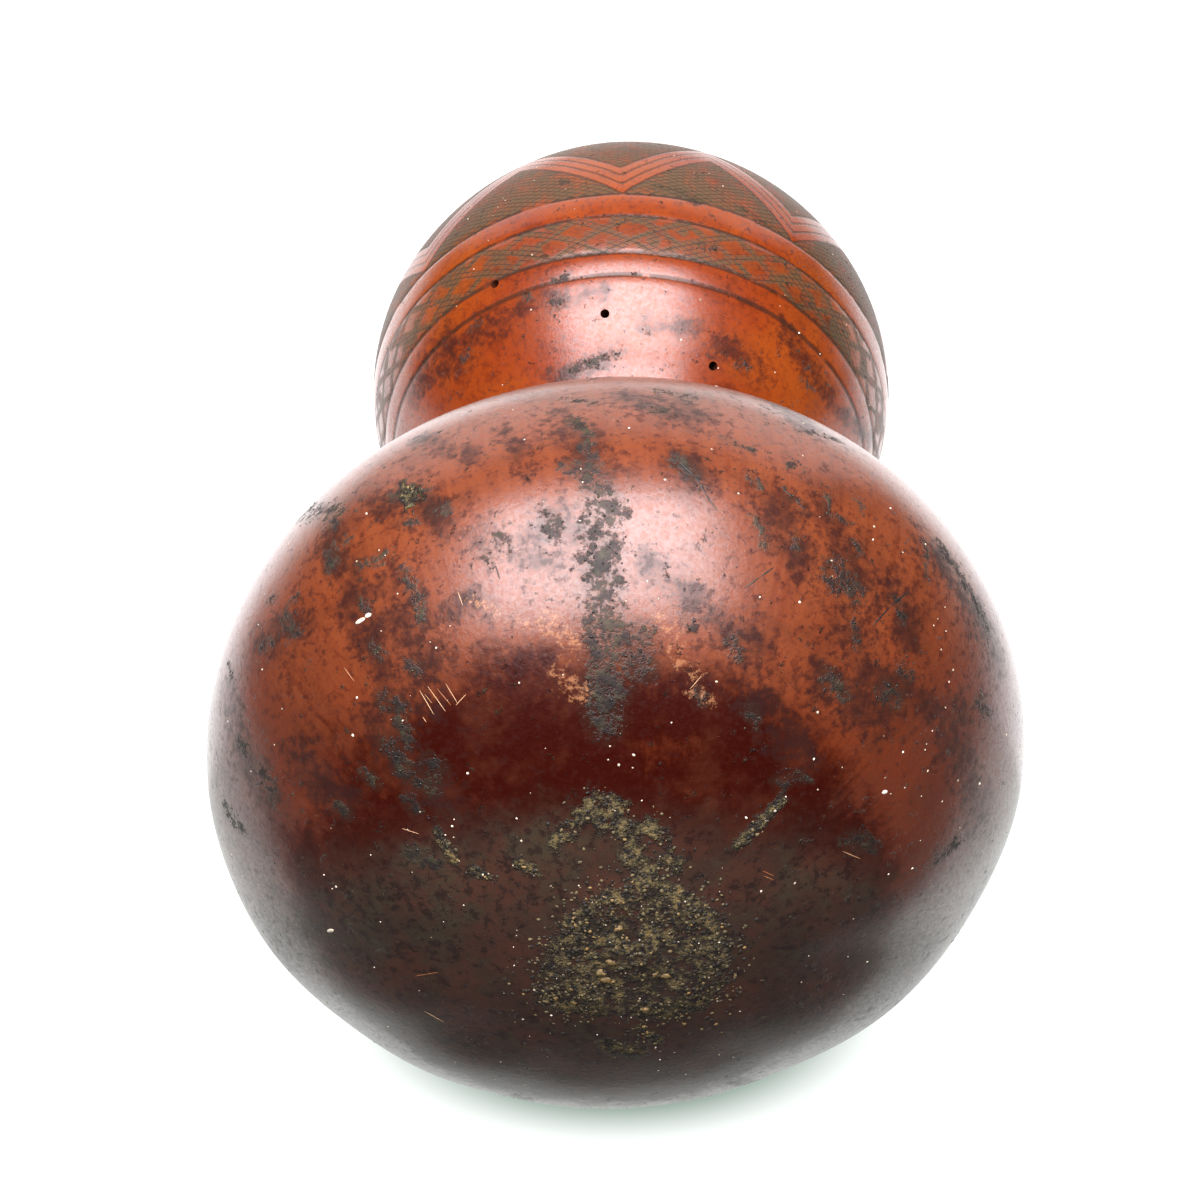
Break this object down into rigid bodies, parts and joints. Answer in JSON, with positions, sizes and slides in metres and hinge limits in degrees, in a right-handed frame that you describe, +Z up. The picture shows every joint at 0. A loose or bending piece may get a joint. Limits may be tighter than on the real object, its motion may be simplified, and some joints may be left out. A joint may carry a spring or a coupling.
{
  "type": "gourd jug",
  "caption": "Hollow dried gourd jug with a large round lobe, a waist and a smaller lobe with a round mouth, lying on its side.",
  "frame": {"origin": "on the table that the gourd lies on, under the middle of its box", "axes": "+Y from the blossom end to the mouth, +Z up"},
  "size_m": [0.1896, 0.2918, 0.1884],
  "materials": {
    "gourd_skin": "polished and waxed dry rind, satin, reddish brown with dark patina"
  },
  "bodies": {
    "root": {"gourd_shell": "gourd_skin"}
  },
  "joints": []
}
